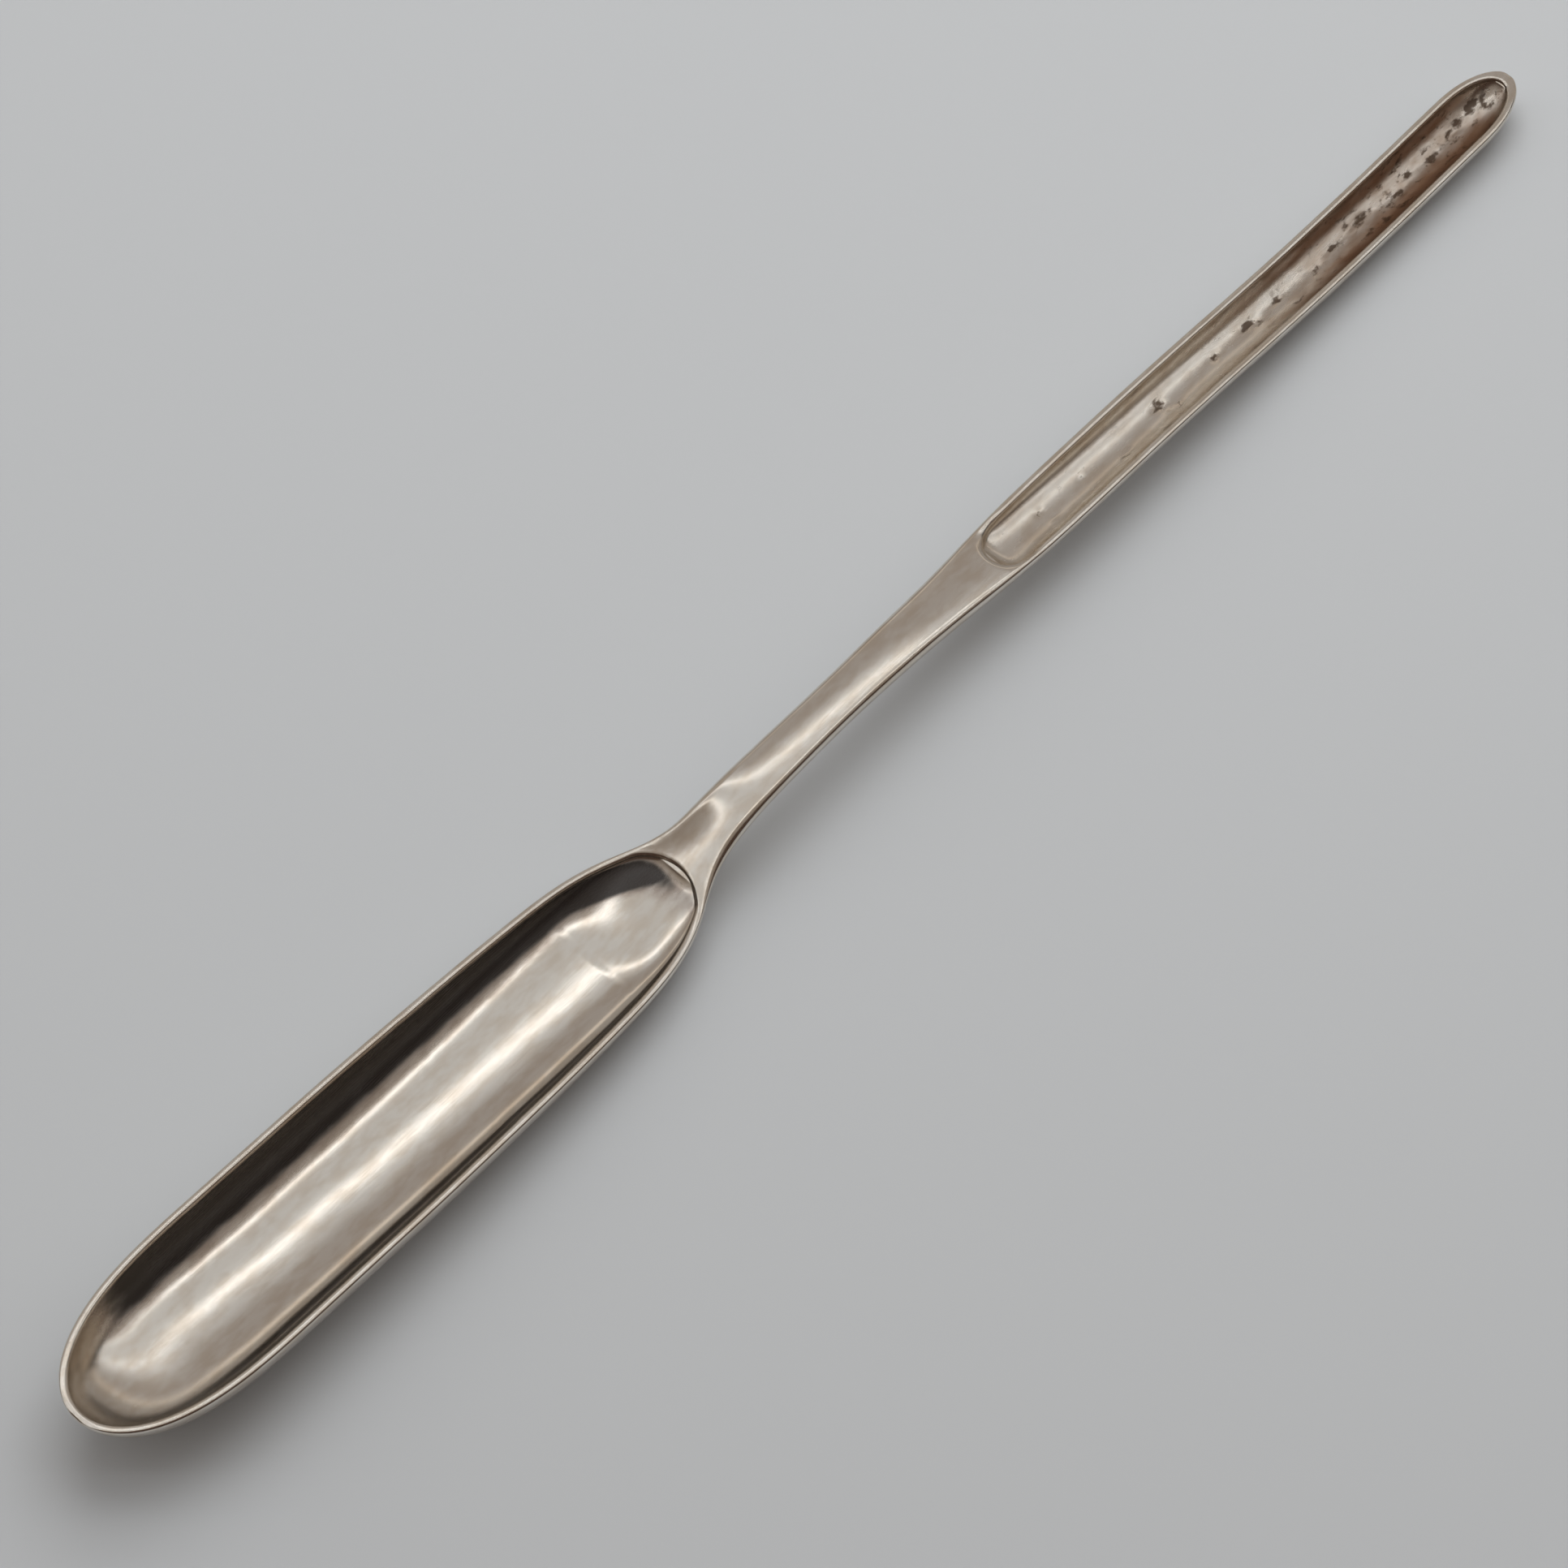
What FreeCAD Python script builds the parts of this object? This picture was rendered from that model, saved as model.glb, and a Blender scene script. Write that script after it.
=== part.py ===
import FreeCAD, Part
import math
import os

# Marrow scoop: one forging of silver with a long spoon bowl at one end,
# a slender arched shank, and a narrow scoop for the marrow at the other end.
# Millimetres. +X runs from the bowl to the narrow scoop, +Z is up, and the
# origin lies on the table under the middle of the object's length.

# Lengths, all measured from the tip of the bowl
total_length = 225.0
bowl_length = 88.0          # tip to the plane where the bowl runs into the shank
scoop_length = 93.0         # the narrow scoop, shank plane to rounded end

# Half widths in plan
bowl_half_width = 9.32
shank_half_width = 2.6
scoop_half_width = 3.88

# Heights of the widest line of each piece above the table
bowl_height = 7.0           # half way along the bowl
bowl_fall = 0.0766          # the bowl's rim falls this much per millimetre to the shank
shank_height = 8.4          # top of the shank's arch
scoop_height = 3.9          # where the end of the narrow scoop rests

# The back of the bowl is curved lengthwise like a rocker and rests near its middle
bowl_rest = 54.0
bowl_rocker = 320.0         # radius of that curve

# The back is worn flat by this much where the piece rests on the table
worn_depth = 0.06

# Metal thickness
rim_wall = 0.9
bowl_floor = 1.15
scoop_floor = 1.1

# Rounding of the rims and of the shank's upper corners
rim_round = 0.4
shank_round_side = 1.0
shank_round_up = 0.8
shank_crown = 0.35          # rise of the shank's arched back above its corners
web_dip = 0.35              # hollow of the small web between the rims at the neck

# Sections of the hollows: 0.55 is an ellipse, more is steeper at the lip or flatter below
hollow_side_fullness = 0.60
hollow_floor_fullness = 0.78
trough_fullness = 0.58
lip_flare = 0.95            # share of the rim's rounding by which a hollow flares at its lip

# Hollows
bowl_tip_run = 9.4          # length over which the hollow deepens from the tip
bowl_hollow_end = 85.4      # round end of the bowl's hollow towards the shank
bowl_neck_width = 8.2       # half width from which that end narrows
bowl_neck_round = 15.5      # length of its rounding in plan
bowl_step = 1.3             # height of the steep wall at that end
bowl_neck_run = 12.6        # length of the slope from that wall down to the floor
trough_start = 134.6        # the step where the trough begins
trough_start_run = 3.6      # length over which the trough reaches its full width
trough_step = 1.7           # height of that step
step_run = 2.2              # length of the step's rounded wall
trough_depth = 3.1          # full depth under the rim
trough_run = 40.0           # length over which the trough reaches its full depth
trough_end_wall = 1.5       # metal left at the rounded end
trough_end_round = 8.0      # length of that end's rounding in plan
trough_end_run = 11.0       # length over which the floor rises to it

# Heel: the drop-shaped swelling on the back of the bowl under the neck
heel_length = 12.0
heel_half_width = 3.1
heel_height = 0.45
heel_fade = 9.0             # how far it runs on under the shank

# Every curve along the object is averaged over twice this way on either side
smoothing = 1.2

# Sections are crowded towards a round end within about this length
crowding = 8.0

mid_length = total_length / 2
scoop_plane = total_length - scoop_length


def through(stations, x):
    """Value at x of the curve through (x, value) stations.

    Between two stations it is a cubic whose slope at each station never
    overshoots the neighbours, so a run of falling stations keeps falling.
    It leaves the first station and meets the last one straight.
    """
    if x <= stations[0][0]:
        return stations[0][1]
    if x >= stations[-1][0]:
        return stations[-1][1]
    slopes = []
    steps = []
    for (xa, ya), (xb, yb) in zip(stations, stations[1:]):
        steps.append((yb - ya) / (xb - xa))
    for i in range(len(stations)):
        if i == 0:
            slopes.append(steps[0])
        elif i == len(stations) - 1:
            slopes.append(steps[-1])
        elif steps[i - 1] * steps[i] <= 0:
            slopes.append(0.0)
        else:
            slopes.append(2 * steps[i - 1] * steps[i] / (steps[i - 1] + steps[i]))
    for i in range(len(stations) - 1):
        xa, ya = stations[i]
        xb, yb = stations[i + 1]
        if x <= xb:
            run = xb - xa
            t = (x - xa) / run
            return (ya * (1 + 2 * t) * (1 - t) ** 2 + slopes[i] * run * t * (1 - t) ** 2
                    + yb * t * t * (3 - 2 * t) + slopes[i + 1] * run * t * t * (t - 1))


def ease(stations, x):
    """The curve through the stations, smoothed by averaging it over a short way around x."""
    total = 0.0
    for step, weight in ((-2, 1), (-1, 2), (0, 3), (1, 2), (2, 1)):
        total += weight * through(stations, x + step * smoothing)
    return total / 9


def round_end(distance, length, fullness, power=0.5):
    """Share of the full size at a distance from a rounded end: 0 at the end, 1 past length."""
    if distance <= 0:
        return 0.0
    if distance >= length:
        return 1.0
    return (1 - (1 - distance / length) ** fullness) ** power


def half_width(x):
    """Half width in plan."""
    b = bowl_length
    s = scoop_plane
    body = ease([
        (0.36 * b, bowl_half_width),
        (0.45 * b, bowl_half_width),
        (0.57 * b, 0.985 * bowl_half_width),
        (0.68 * b, 0.960 * bowl_half_width),
        (0.795 * b, 0.913 * bowl_half_width),
        (0.841 * b, 0.877 * bowl_half_width),
        (0.886 * b, 0.803 * bowl_half_width),
        (0.932 * b, 0.660 * bowl_half_width),
        (0.966 * b, 0.492 * bowl_half_width),
        (b, 1.30 * shank_half_width),
        (b + 4, 1.155 * shank_half_width),
        (b + 10, 1.07 * shank_half_width),
        (b + 22, shank_half_width),
        (s - 12, 1.08 * shank_half_width),
        (s - 5, 0.79 * scoop_half_width),
        (s + 2, 0.90 * scoop_half_width),
        (s + 9, 0.98 * scoop_half_width),
        (s + 18, scoop_half_width),
        (total_length - 30, scoop_half_width),
    ], x)
    return body * round_end(x, 0.27 * b, 3.0) * round_end(total_length - x, 9.0, 2.2)


def widest_line(x):
    """Height of the widest line: just under the rim on the bowl and on the narrow scoop."""
    b = bowl_length
    s = scoop_plane
    n = 0.93 * b
    return ease([
        (0, bowl_height + bowl_fall * 0.5 * b),
        (0.5 * b, bowl_height),
        (n - 6, bowl_height - bowl_fall * (n - 6 - 0.5 * b)),
        (n, bowl_height - bowl_fall * (n - 2 - 0.5 * b)),
        (b, 0.70 * shank_height),
        (b + 4, 0.88 * shank_height),
        (b + 9, 0.965 * shank_height),
        (b + 14, 0.990 * shank_height),
        (b + 20, shank_height),
        (b + 26, 0.992 * shank_height),
        (b + 32, 0.970 * shank_height),
        (s - 2, 0.88 * shank_height),
        (s + 8, 0.84 * shank_height),
        (s + 28, 0.76 * shank_height),
        (s + 38, 0.68 * shank_height),
        (s + 48, 0.57 * shank_height),
        (s + 58, 1.05 * scoop_height),
        (s + 70, 0.98 * scoop_height),
        (s + 80, scoop_height),
        (total_length, 1.03 * scoop_height),
    ], x)


def keel_body(x):
    """Depth of the back of the object under its widest line, its ends not yet rounded."""
    b = bowl_length
    s = scoop_plane
    stations = []
    for share in (0.13, 0.20, 0.30, 0.40, 0.50, 0.60, 0.70, 0.80, 0.86):
        rise = (share * b - bowl_rest) ** 2 / (2 * bowl_rocker)
        stations.append((share * b, widest_line(share * b) - rise))
    stations += [
        (0.905 * b, 0.435 * bowl_height),
        (0.955 * b, 0.355 * bowl_height),
        (b, 0.31 * shank_height),
        (b + 6, 0.315 * shank_height),
        (b + 20, 0.325 * shank_height),
        (s - 12, 0.34 * shank_height),
        (s - 2, 0.36 * shank_height),
        (s + 8, 0.87 * scoop_height),
        (s + 18, 0.92 * scoop_height),
        (s + 38, 0.96 * scoop_height),
        (s + 68, 0.99 * scoop_height),
        (total_length - 12, scoop_height),
    ]
    return ease(stations, x) + worn_depth


def keel_depth(x):
    """Depth of the back of the object under its widest line."""
    tip = round_end(x, 0.13 * bowl_length, 2.6, 0.75)
    return keel_body(x) * tip * round_end(total_length - x, 12.0, 2.2)


def corner_side(x):
    """How far the rounding of the upper corner reaches in from the widest line."""
    wide = ease([
        (bowl_length - 12, rim_round),
        (bowl_length - 7, rim_round),
        (bowl_length + 6, shank_round_side),
        (scoop_plane - 6, shank_round_side),
        (scoop_plane + 9, rim_round),
        (scoop_plane + 14, rim_round),
    ], x)
    w = half_width(x)
    return wide * w / (w + 0.5 * wide)


def corner_up(x):
    """How far the rounding of the upper corner rises above the widest line."""
    high = ease([
        (bowl_length - 12, rim_round),
        (bowl_length - 7, rim_round),
        (bowl_length + 6, shank_round_up),
        (scoop_plane - 6, shank_round_up),
        (scoop_plane + 9, rim_round),
        (scoop_plane + 14, rim_round),
    ], x)
    return high * round_end(x, rim_round, 2.0) * round_end(total_length - x, rim_round, 2.0)


def crown(x):
    """Rise of the upper face between its corners; below zero it is hollow."""
    return ease([
        (bowl_length - 14, 0.0),
        (bowl_length - 10, 0.0),
        (bowl_length - 2, -web_dip),
        (bowl_length + 1, -web_dip),
        (bowl_length + 8, shank_crown),
        (scoop_plane - 2, shank_crown),
        (scoop_plane + 10, 0.0),
        (scoop_plane + 14, 0.0),
    ], x)


def side_fullness(x):
    """Fullness of the back below the widest line, 0.55 for an ellipse."""
    return ease([
        (bowl_length - 14, 0.46),
        (bowl_length + 4, 0.55),
        (scoop_plane, 0.55),
        (scoop_plane + 15, 0.52),
    ], x)


def keel_fullness(x):
    """Fullness of the back next to the keel, more than 0.55 for a flatter underside."""
    return ease([
        (0.04 * bowl_length, 0.64),
        (0.15 * bowl_length, 0.80),
        (bowl_length - 18, 0.80),
        (bowl_length + 2, 0.55),
        (scoop_plane, 0.55),
        (scoop_plane + 15, 0.60),
        (total_length - 12, 0.60),
        (total_length, 0.56),
    ], x)


def mirrored(points):
    """The same poles on the other side of the middle plane, in the opposite order."""
    return [(-y, z) for y, z in reversed(points)]


def blank_section(x):
    """Outline of the forging at x before it is hollowed, as four-pole curves of (y, z)."""
    w = half_width(x)
    zw = widest_line(x)
    zk = zw - keel_depth(x)
    ws = w - corner_side(x)
    zs = zw + corner_up(x)
    k = side_fullness(x)
    kk = keel_fullness(x)
    rise = 4 / 3 * crown(x)
    top = [(-ws, zs), (-ws / 3, zs + rise), (ws / 3, zs + rise), (ws, zs)]
    corner = [
        (ws, zs),
        (ws + 0.55 * (w - ws), zs),
        (w, zw + 0.45 * (zs - zw)),
        (w, zw),
    ]
    side = [
        (w, zw),
        (w, zw - k * (zw - zk)),
        (kk * w, zk),
        (0, zk),
    ]
    return [top, corner, side, mirrored(side), mirrored(corner)]


def measure(x, start, end):
    """Even measure along a piece whose two ends are round.

    In the middle it grows as x does. Near an end it grows with the square root of the
    distance from that end, as the width of a round end does.
    """
    half = (end - start) / 2
    if x - start <= half:
        return math.sqrt((x - start) * (x - start + 2 * crowding))
    reach = math.sqrt(half * (half + 2 * crowding))
    return 2 * reach - math.sqrt((end - x) * (end - x + 2 * crowding))


def places_between(start, end, runs):
    """Places of the sections from start to end, which are left out themselves.

    Each run is (where it stops, how many steps it takes), and its steps are equal in measure.
    """
    half = (end - start) / 2
    reach = math.sqrt(half * (half + 2 * crowding))
    places = []
    here = start
    for stop, steps in runs:
        u0 = measure(here, start, end)
        u1 = measure(stop, start, end)
        for i in range(1, steps + 1):
            u = u0 + (u1 - u0) * i / steps
            if u <= reach:
                places.append(start + math.hypot(crowding, u) - crowding)
            else:
                places.append(end - math.hypot(crowding, 2 * reach - u) + crowding)
        here = stop
    return places[:-1]


def skin(places, sections, first, last):
    """Solid whose skin passes through the sections and closes to a point at both ends.

    Every section is the same chain of four-pole curves. Each chain link becomes one
    surface: its four rows of poles run along the object as smooth cubic curves.
    """
    start = first[0]
    end = last[0]
    rows = [measure(x, start, end) for x in [start] + places + [end]]
    faces = []
    for link in range(len(sections[0])):
        long_curves = []
        for pole in range(4):
            points = [FreeCAD.Vector(first[0] - mid_length, 0, first[1])]
            for x, section in zip(places, sections):
                y, z = section[link][pole]
                points.append(FreeCAD.Vector(x - mid_length, y, z))
            points.append(FreeCAD.Vector(last[0] - mid_length, 0, last[1]))
            line = Part.BSplineCurve()
            line.interpolate(Points=points, Parameters=rows)
            long_curves.append(line)
        line = long_curves[0]
        count = len(line.getPoles())
        poles = [[c.getPoles()[i] for c in long_curves] for i in range(count)]
        surface = Part.BSplineSurface()
        surface.buildFromPolesMultsKnots(
            poles, line.getMultiplicities(), [4, 4], line.getKnots(), [0.0, 1.0],
            False, False, line.Degree, 3)
        faces.append(surface.toShape())
    shell = Part.Shell(faces)
    shell.sewShape()
    solid = Part.Solid(shell)
    if solid.Volume < 0:
        solid.reverse()
    return solid


def forging_blank():
    """The whole forging, solid, from the tip of the bowl to the end of the narrow scoop."""
    places = places_between(0, total_length, [
        (0.30 * bowl_length, 9),
        (0.80 * bowl_length, 4),
        (bowl_length + 12, 12),
        (scoop_plane - 8, 2),
        (scoop_plane + 14, 7),
        (total_length - 16, 5),
        (total_length, 7),
    ])
    return skin(places, [blank_section(x) for x in places],
                (0, widest_line(0)), (total_length, widest_line(total_length)))


def hollow_section(w, lip, floor, side_full, floor_full):
    """Outline of a hollow: flared a little at the lip, U-shaped below it."""
    flare = min(rim_round, 0.5 * w)
    flare_depth = 1.1 * rim_round
    clearance = 2.0
    lip_low = max(lip - flare_depth, 0.5 * (lip + floor))
    over = lip + 0.35 * rim_round
    top = lip + clearance
    wide = w + lip_flare * flare
    cap = [(-wide, over), (-0.8 * wide, top), (0.8 * wide, top), (wide, over)]
    flank = [
        (wide, over),
        (w + 0.35 * flare, lip_low + 0.85 * (over - lip_low)),
        (w, lip_low + 0.5 * (over - lip_low)),
        (w, lip_low),
    ]
    side = [
        (w, lip_low),
        (w, lip_low - side_full * (lip_low - floor)),
        (floor_full * w, floor),
        (0, floor),
    ]
    return [cap, flank, side, mirrored(side), mirrored(flank)]


def bowl_floor_depth(x, start):
    """Depth of the bowl's hollow under its lip at x."""
    full = keel_body(x) + corner_up(x) - bowl_floor
    from_neck = bowl_hollow_end - x
    if from_neck > bowl_neck_run:
        return full * round_end(x - start, bowl_tip_run, 2.5, 0.7)
    rise = ease([
        (0, 0.0),
        (0.10 * bowl_neck_run, 0.0),
        (0.22 * bowl_neck_run, 0.1),
        (0.35 * bowl_neck_run, 0.39),
        (0.50 * bowl_neck_run, 0.7),
        (0.65 * bowl_neck_run, 0.87),
        (0.80 * bowl_neck_run, 0.957),
        (0.90 * bowl_neck_run, 0.987),
        (bowl_neck_run, 1.0),
    ], from_neck)
    return bowl_step * round_end(from_neck, 1.6, 2.2) + (full - bowl_step) * rise


def bowl_hollow():
    """The hollow of the bowl, round at the tip, with a slope and a low wall at the neck."""
    start = rim_wall - 0.25 * rim_round
    end = bowl_hollow_end
    widest = 0.985 * bowl_half_width - rim_wall
    sections = []
    places = places_between(start, end, [
        (0.30 * bowl_length, 11),
        (0.75 * bowl_length, 4),
        (end, 12),
    ])
    for x in places:
        w = min(half_width(x + 0.3 * rim_wall) - rim_wall, widest)
        if end - x < bowl_neck_round:
            w = min(w, bowl_neck_width * round_end(end - x, bowl_neck_round, 2.4))
        lip = widest_line(x) + corner_up(x)
        floor = lip - bowl_floor_depth(x, start)
        sections.append(hollow_section(w, lip, floor, hollow_side_fullness, hollow_floor_fullness))
    return skin(places, sections,
                (start, widest_line(start) + corner_up(start) + rim_round),
                (end, widest_line(end) + corner_up(end) + rim_round))


def trough_floor_depth(x, end):
    """Depth of the trough under its lip at x: a step, then a long ramp to the full depth."""
    from_start = x - trough_start
    ramp = ease([(0, 0.0), (0.5 * trough_run, 0.62), (trough_run, 1.0)], from_start)
    depth = trough_step * round_end(from_start, step_run, 2.2) + (trough_depth - trough_step) * ramp
    most = keel_body(x) + corner_up(x) + max(0.0, crown(x)) - scoop_floor
    return min(depth, most) * round_end(end - x, trough_end_run, 2.5, 0.65)


def trough_hollow():
    """The hollow of the narrow scoop: a low step out of the shank, then a long trough."""
    start = trough_start
    end = total_length - trough_end_wall
    sections = []
    places = places_between(start, end, [
        (start + 8, 9),
        (start + trough_run + 3, 5),
        (end - 14, 4),
        (end, 9),
    ])
    for x in places:
        w = (half_width(x) - rim_wall) * round_end(x - start, trough_start_run, 2.2)
        if end - x < trough_end_round:
            w = min(w, (scoop_half_width - rim_wall) * round_end(end - x, trough_end_round, 2.4))
        lip = widest_line(x) + corner_up(x) + max(0.0, crown(x))
        floor = lip - trough_floor_depth(x, end)
        sections.append(hollow_section(w, lip, floor, trough_fullness, trough_fullness))
    return skin(places, sections,
                (start, widest_line(start) + corner_up(start) + crown(start) + rim_round),
                (end, widest_line(end) + corner_up(end) + rim_round))


def heel_swelling():
    """The drop on the back of the bowl: round towards the bowl, fading into the shank."""
    start = bowl_length - heel_length
    end = bowl_length + heel_fade
    nose = 0.6 * heel_length
    inside = 0.4
    sections = []
    places = places_between(start, end, [(start + nose, 6), (end, 6)])
    for x in places:
        keel = widest_line(x) - keel_depth(x)
        w = heel_half_width * round_end(x - start, nose, 2.2)
        w = w * ease([(start + nose, 1.0), (bowl_length, 0.72), (end, 0.45)], x)
        proud = heel_height * ease([(start + nose, 1.0), (bowl_length - 2, 0.85), (end, -0.5)], x)
        blunt = round_end(x - start, 3.0, 2.0)
        low = keel - proud * round_end(x - start, nose, 2.0) + 0.25 * (1 - blunt)
        high = keel + 1.6 * blunt + inside
        top = [(-w, high), (-w / 3, high), (w / 3, high), (w, high)]
        side = [(w, high), (w, high - 0.75 * (high - low)), (0.6 * w, low), (0, low)]
        sections.append([top, side, mirrored(side)])
    keel_start = widest_line(start) - keel_depth(start)
    keel_end = widest_line(end) - keel_depth(end)
    return skin(places, sections, (start, keel_start + inside), (end, keel_end + 1.0))


def slice_between(shape, x0, x1):
    """The part of a shape between two planes across the object."""
    room = 60.0
    block = Part.makeBox(x1 - x0, room, room, FreeCAD.Vector(x0 - mid_length, -room / 2, 0))
    return shape.common(block).Solids[0]


def build():
    """Named regions of the forging, cut from one blank so that their faces meet exactly."""
    blank = forging_blank()
    hollowed = blank.cut(bowl_hollow()).cut(trough_hollow())
    margin = 5.0
    bowl = slice_between(hollowed, -margin, bowl_length)
    shank = slice_between(hollowed, bowl_length, scoop_plane)
    narrow_scoop = slice_between(hollowed, scoop_plane, total_length + margin)
    heel = slice_between(heel_swelling().cut(blank), 0, scoop_plane)
    return {
        "bowl": bowl,
        "shank": shank,
        "narrow_scoop": narrow_scoop,
        "heel_drop": heel,
    }


os.makedirs("parts", exist_ok=True)
for node, shape in build().items():
    shape.exportStep("parts/" + node + ".step")
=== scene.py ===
import math

import bpy
import numpy as np
from mathutils import Matrix, Vector


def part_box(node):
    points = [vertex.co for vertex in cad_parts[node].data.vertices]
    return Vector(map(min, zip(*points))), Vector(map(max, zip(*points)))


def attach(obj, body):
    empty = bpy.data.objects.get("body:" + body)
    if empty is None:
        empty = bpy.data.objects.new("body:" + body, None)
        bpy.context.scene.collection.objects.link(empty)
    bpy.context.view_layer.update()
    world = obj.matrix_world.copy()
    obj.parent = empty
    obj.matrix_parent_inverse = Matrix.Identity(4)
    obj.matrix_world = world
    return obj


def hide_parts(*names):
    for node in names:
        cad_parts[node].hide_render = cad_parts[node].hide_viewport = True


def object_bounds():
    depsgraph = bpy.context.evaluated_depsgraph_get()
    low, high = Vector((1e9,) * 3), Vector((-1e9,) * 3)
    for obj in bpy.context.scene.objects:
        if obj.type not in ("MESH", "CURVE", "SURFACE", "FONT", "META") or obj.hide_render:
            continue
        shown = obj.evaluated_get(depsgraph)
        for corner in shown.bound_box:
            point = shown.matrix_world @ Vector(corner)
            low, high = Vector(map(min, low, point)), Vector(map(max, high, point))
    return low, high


# Looks of a silver marrow scoop. The forging is drawn as one continuous skin, because
# the real one has no joint: bowl, shank, narrow scoop and heel run into each other.
# Shapes are worked out in millimetres from the tip of the bowl and turned into metres
# in the frame of the CAD model when the mesh is made.

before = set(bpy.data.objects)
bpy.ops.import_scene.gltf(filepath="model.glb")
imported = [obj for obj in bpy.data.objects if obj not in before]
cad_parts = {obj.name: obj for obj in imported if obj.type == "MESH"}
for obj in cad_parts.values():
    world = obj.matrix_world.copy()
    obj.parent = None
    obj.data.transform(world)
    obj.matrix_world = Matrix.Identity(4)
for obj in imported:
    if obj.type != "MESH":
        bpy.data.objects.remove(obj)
cad_low, cad_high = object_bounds()

MM = 0.001

# Driving sizes, as in the CAD model. The shank's crown, the round of the bowl's tip and the
# step and rise of its neck are a little gentler here, as the reflections ask.
total_length = (cad_high.x - cad_low.x) / MM
bowl_length = (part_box("bowl")[1].x - cad_low.x) / MM
scoop_plane = (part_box("narrow_scoop")[0].x - cad_low.x) / MM
mid_length = total_length / 2
bowl_half_width = 9.32
shank_half_width = 2.6
scoop_half_width = 3.88
bowl_height = 7.0
bowl_fall = 0.0766
shank_height = 8.4
scoop_height = 3.9
bowl_rest = 54.0
bowl_rocker = 320.0
worn_depth = 0.06
rim_wall = 0.9
bowl_floor = 1.15
scoop_floor = 1.1
rim_round = 0.4
lip_round = 0.35
shank_round_side = 1.0
shank_round_up = 0.8
shank_crown = 0.17
web_dip = 0.35
bowl_tip_run = 12.5
bowl_hollow_end = 85.4
bowl_neck_half_width = 8.2
bowl_neck_round = 15.5
bowl_step = 0.85
bowl_neck_run = 12.6
trough_start = 134.6
trough_step = 1.7
trough_depth = 3.1
trough_run = 40.0
trough_end_wall = 1.5
trough_start_round = 3.6
trough_lip_round = 8.0
trough_floor_round = 11.0
trough_softer_lip = 0.75
heel_length = 12.0
heel_half_width = 3.1
heel_height = 0.45
heel_fade = 9.0
smoothing = 1.2

# Fullness of the hollows' sections at the wall and at the floor
bowl_fullness = (0.60, 0.78)
trough_fullness = (0.58, 0.58)

# Points of half a section: over the back, the upper corner, the rim and the hollow
back_count = 25
corner_count = 8
rim_count = 11
hollow_count = 37


# ---- curves along the object ------------------------------------------------------

def through(stations, x):
    """Curve through (x, value) stations, flat beyond the first and the last.

    Each span is the cubic with the slopes of its two stations. A station's slope is the
    harmonic mean of the two steps beside it, and zero where they change sign.
    """
    places = np.array([s[0] for s in stations], float)
    values = np.array([s[1] for s in stations], float)
    steps = np.diff(values) / np.diff(places)
    slopes = np.empty(len(places))
    slopes[0] = steps[0]
    slopes[-1] = steps[-1]
    product = steps[:-1] * steps[1:]
    total = np.where(product > 0, steps[:-1] + steps[1:], 1.0)
    slopes[1:-1] = np.where(product > 0, 2 * product / total, 0.0)
    x = np.clip(x, places[0], places[-1])
    i = np.clip(np.searchsorted(places, x, side="right") - 1, 0, len(places) - 2)
    run = places[i + 1] - places[i]
    t = (x - places[i]) / run
    return (values[i] * (1 + 2 * t) * (1 - t) ** 2 + slopes[i] * run * t * (1 - t) ** 2
            + values[i + 1] * t * t * (3 - 2 * t) + slopes[i + 1] * run * t * t * (t - 1))


def ease(stations, x):
    """The curve through the stations, averaged with weights 1 2 3 2 1 over a short way around x."""
    shifts = zip((-2, -1, 0, 1, 2), (1, 2, 3, 2, 1))
    return sum(weight * through(stations, x + step * smoothing) for step, weight in shifts) / 9


def round_end(distance, length, fullness, power=0.5):
    """0 at a rounded end, 1 from the length on: (1 - (1 - share of length) ^ fullness) ^ power."""
    share = np.clip(distance / length, 0.0, 1.0)
    return (1 - (1 - share) ** fullness) ** power


def smooth(value, low, high):
    """0 below low, 1 above high and a smooth step between them."""
    t = np.clip((value - low) / (high - low), 0.0, 1.0)
    return t * t * (3 - 2 * t)


def half_width(x):
    """Half width in plan."""
    b = bowl_length
    s = scoop_plane
    body = ease([
        (0.36 * b, bowl_half_width),
        (0.45 * b, bowl_half_width),
        (0.57 * b, 0.985 * bowl_half_width),
        (0.68 * b, 0.960 * bowl_half_width),
        (0.795 * b, 0.913 * bowl_half_width),
        (0.841 * b, 0.877 * bowl_half_width),
        (0.886 * b, 0.803 * bowl_half_width),
        (0.932 * b, 0.660 * bowl_half_width),
        (0.966 * b, 0.492 * bowl_half_width),
        (b, 1.30 * shank_half_width),
        (b + 4, 1.155 * shank_half_width),
        (b + 10, 1.07 * shank_half_width),
        (b + 22, shank_half_width),
        (s - 12, 1.08 * shank_half_width),
        (s - 5, 0.79 * scoop_half_width),
        (s + 2, 0.90 * scoop_half_width),
        (s + 9, 0.98 * scoop_half_width),
        (s + 18, scoop_half_width),
        (total_length - 30, scoop_half_width),
    ], x)
    return body * round_end(x, 0.27 * b, 3.0) * round_end(total_length - x, 9.0, 2.2)


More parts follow.
